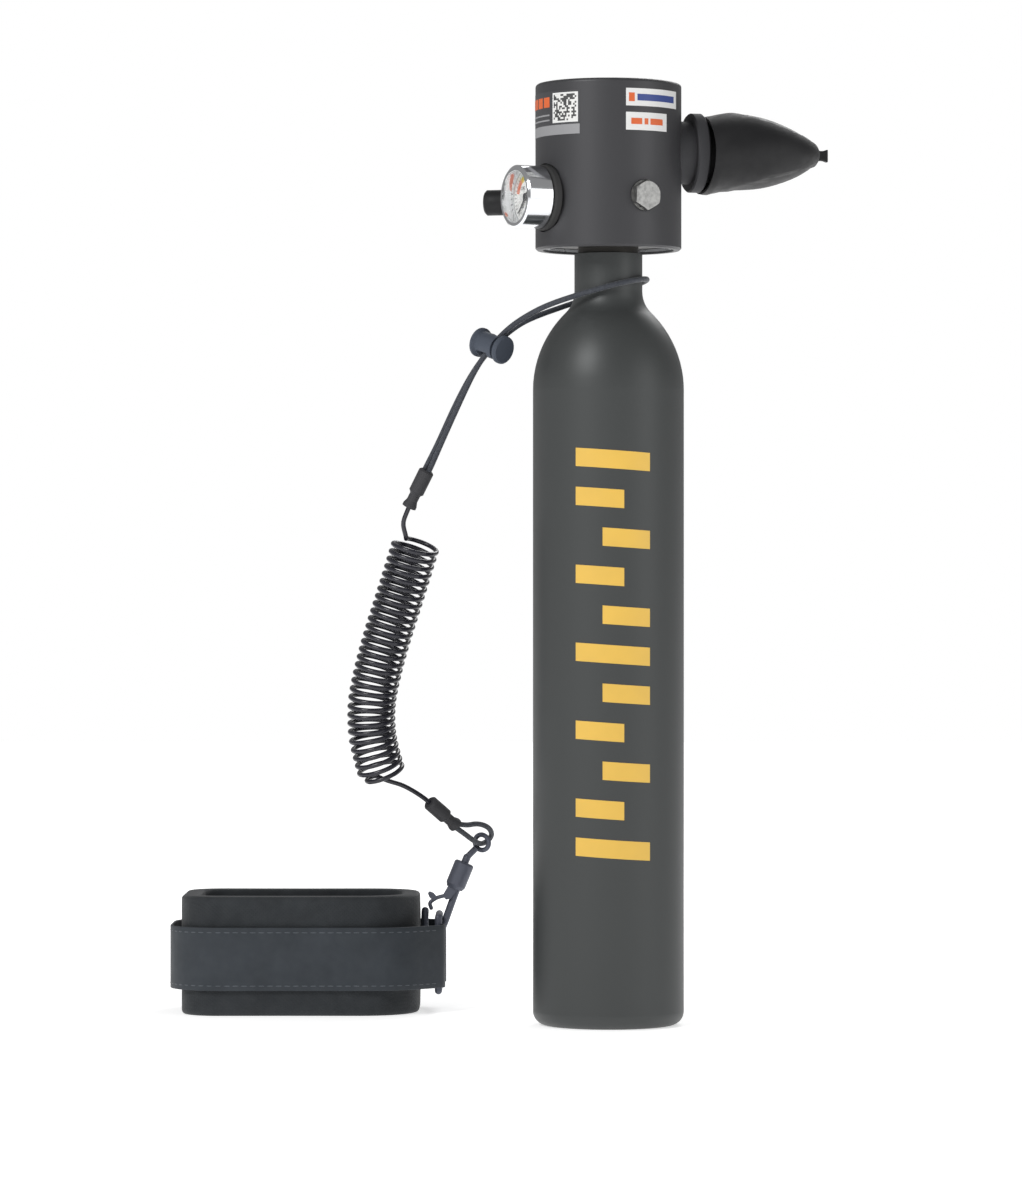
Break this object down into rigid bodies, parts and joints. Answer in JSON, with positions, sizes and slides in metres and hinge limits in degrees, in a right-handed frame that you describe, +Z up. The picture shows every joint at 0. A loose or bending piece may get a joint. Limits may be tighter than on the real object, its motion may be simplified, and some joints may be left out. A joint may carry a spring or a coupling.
{
  "type": "mini scuba tank",
  "caption": "Small hand-held dive bottle with a round screw-on regulator head, pressure gauge, capped mouthpiece and a coiled lanyard to a padded wrist strap.",
  "frame": {"origin": "centre of the bottle's flat base, on the bottle's axis", "axes": "+Z up the bottle's axis, +X towards the mouthpiece's side (it points 14 degrees behind +X), -Y towards the front"},
  "size_m": [0.2667, 0.1348, 0.3735],
  "materials": {
    "bottle_coat": "fine satin-matte powder coat on aluminium",
    "head_coat": "satin black anodised aluminium",
    "brass_core": "machined brass",
    "steel": "machined stainless steel",
    "spring_steel": "drawn spring wire",
    "chrome_trim": "polished chrome plate",
    "seal_rubber": "nitrile seal rubber",
    "soft_black": "matte moulded silicone",
    "clear_lens": "clear polycarbonate",
    "dial_white": "printed white dial",
    "moulded_black": "moulded black nylon",
    "lock_plastic": "moulded blue-black acetal",
    "silicone_clear": "translucent silicone membrane",
    "cord_weave": "braided nylon cord",
    "coil_sheath": "glossy polyurethane over a core",
    "hook_coat": "gun-metal coated zinc casting",
    "webbing": "woven nylon webbing",
    "pad_foam": "knit-faced neoprene foam"
  },
  "bodies": {
    "tank": {"body_o_ring": "seal_rubber", "bourdon_tube": "brass_core", "burst_disc": "brass_core", "burst_disc_plug": "steel", "cylinder": "bottle_coat", "diaphragm": "silicone_clear", "exhaust_cover": "moulded_black", "exhaust_valve": "silicone_clear", "fill_nipple": "steel", "fill_spring": "spring_steel", "first_stage_cap": "brass_core", "gauge_bezel": "chrome_trim", "gauge_boot": "seal_rubber", "gauge_case": "chrome_trim", "gauge_dial": "dial_white", "gauge_lens": "clear_lens", "gauge_stem": "brass_core", "head_housing": "head_coat", "inlet_filter": "brass_core", "lever_pin": "steel", "mouthpiece": "soft_black", "mouthpiece_port": "moulded_black", "neck_o_ring": "seal_rubber", "piston_spring": "spring_steel", "poppet_spring": "spring_steel", "port_ring": "moulded_black", "purge_spring": "spring_steel", "retaining_circlip": "spring_steel", "top_cover": "head_coat", "valve_barrel": "brass_core", "valve_body": "brass_core", "valve_seat": "dial_white"},
    "purge_button": {"purge_button": "moulded_black"},
    "diaphragm_plate": {"diaphragm_plate": "steel"},
    "demand_lever": {"demand_lever": "steel"},
    "demand_poppet": {"demand_poppet": "brass_core", "poppet_nut": "steel"},
    "piston": {"first_stage_piston": "brass_core", "piston_o_ring": "seal_rubber"},
    "gauge_needle": {"gauge_needle": "moulded_black"},
    "fill_poppet": {"fill_poppet": "steel"},
    "fill_cap": {"fill_cap": "soft_black"},
    "mouthpiece_cover": {"mouthpiece_cover": "soft_black"},
    "lanyard": {"neck_cord": "cord_weave", "cord_lock_body": "lock_plastic", "cord_lock_spring": "spring_steel", "upper_sleeve": "moulded_black", "coil_lead_top": "coil_sheath", "coil_body": "coil_sheath", "coil_lead_bottom": "coil_sheath", "lower_sleeve": "moulded_black", "end_loop": "cord_weave", "snap_hook": "hook_coat", "strap_ring": "hook_coat", "strap_band": "webbing", "strap_pad": "pad_foam"},
    "cord_lock_plunger": {"cord_lock_plunger": "lock_plastic"},
    "swivel_eye": {"swivel_eye": "hook_coat"},
    "hook_gate": {"hook_gate": "hook_coat"}
  },
  "joints": [
    {"name": "purge_press", "type": "slide", "parent": "tank", "child": "purge_button", "axis": [0, 0, 1], "range_m": [-0.004, 0], "stiffness_N_per_m": 600, "springref_m": 0.002, "deforming": ["purge_spring", "diaphragm"]},
    {"name": "plate_follow", "type": "slide", "parent": "tank", "child": "diaphragm_plate", "axis": [0, 0, 1], "range_m": [-0.0028, 0]},
    {"name": "lever_turn", "type": "hinge", "parent": "tank", "child": "demand_lever", "pos_m": [0.01067, 0.00266, 0.347], "axis": [-0.2419, 0.9703, 0], "range_deg": [-11.46, 0]},
    {"name": "poppet_lift", "type": "slide", "parent": "tank", "child": "demand_poppet", "axis": [0.9703, 0.2419, 0], "range_m": [0, 0.001], "deforming": ["poppet_spring"]},
    {"name": "piston_slide", "type": "slide", "parent": "tank", "child": "piston", "axis": [0, 0, 1], "range_m": [-0.0012, 0], "stiffness_N_per_m": 8000, "springref_m": 0.001, "deforming": ["piston_spring"]},
    {"name": "needle_turn", "type": "hinge", "parent": "tank", "child": "gauge_needle", "pos_m": [-0.03285, -0.01746, 0.3275], "axis": [0.8829, 0.4695, 0], "range_deg": [0, 270]},
    {"name": "fill_check", "type": "slide", "parent": "tank", "child": "fill_poppet", "axis": [0.9659, -0.2588, 0], "range_m": [0, 0.002], "stiffness_N_per_m": 300, "springref_m": -0.002, "deforming": ["fill_spring"]},
    {"name": "fill_cap_off", "type": "slide", "parent": "tank", "child": "fill_cap", "axis": [-0.9659, 0.2588, 0], "range_m": [0, 0.03]},
    {"name": "mouthpiece_cover_off", "type": "slide", "parent": "tank", "child": "mouthpiece_cover", "axis": [0.9703, 0.2419, 0], "range_m": [0, 0.06]},
    {"name": "lanyard_turn", "type": "hinge", "parent": "tank", "child": "lanyard", "pos_m": [0, 0, 0], "axis": [0, 0, 1], "continuous": true},
    {"name": "cord_lock_press", "type": "slide", "parent": "lanyard", "child": "cord_lock_plunger", "axis": [-0.7005, 0.6605, 0.2702], "range_m": [0, 0.0018], "stiffness_N_per_m": 800, "springref_m": -0.001, "deforming": ["cord_lock_spring"]},
    {"name": "eye_swivel", "type": "hinge", "parent": "lanyard", "child": "swivel_eye", "pos_m": [-0.0577, 0.07, 0.06075], "axis": [0.3781, 0, 0.9258], "range_deg": [-15, 15]},
    {"name": "gate_open", "type": "hinge", "parent": "lanyard", "child": "hook_gate", "pos_m": [-0.0649, 0.07, 0.0474], "axis": [0, 1, 0], "range_deg": [-14, 0], "stiffness_Nm_per_rad": 0.02, "springref_deg": 11.46}
  ],
  "couplings": [
    {"joint": "plate_follow", "follows": "purge_press", "ratio": 0.7},
    {"joint": "lever_turn", "follows": "purge_press", "rad_per_m": 50},
    {"joint": "poppet_lift", "follows": "purge_press", "ratio": -0.25}
  ]
}
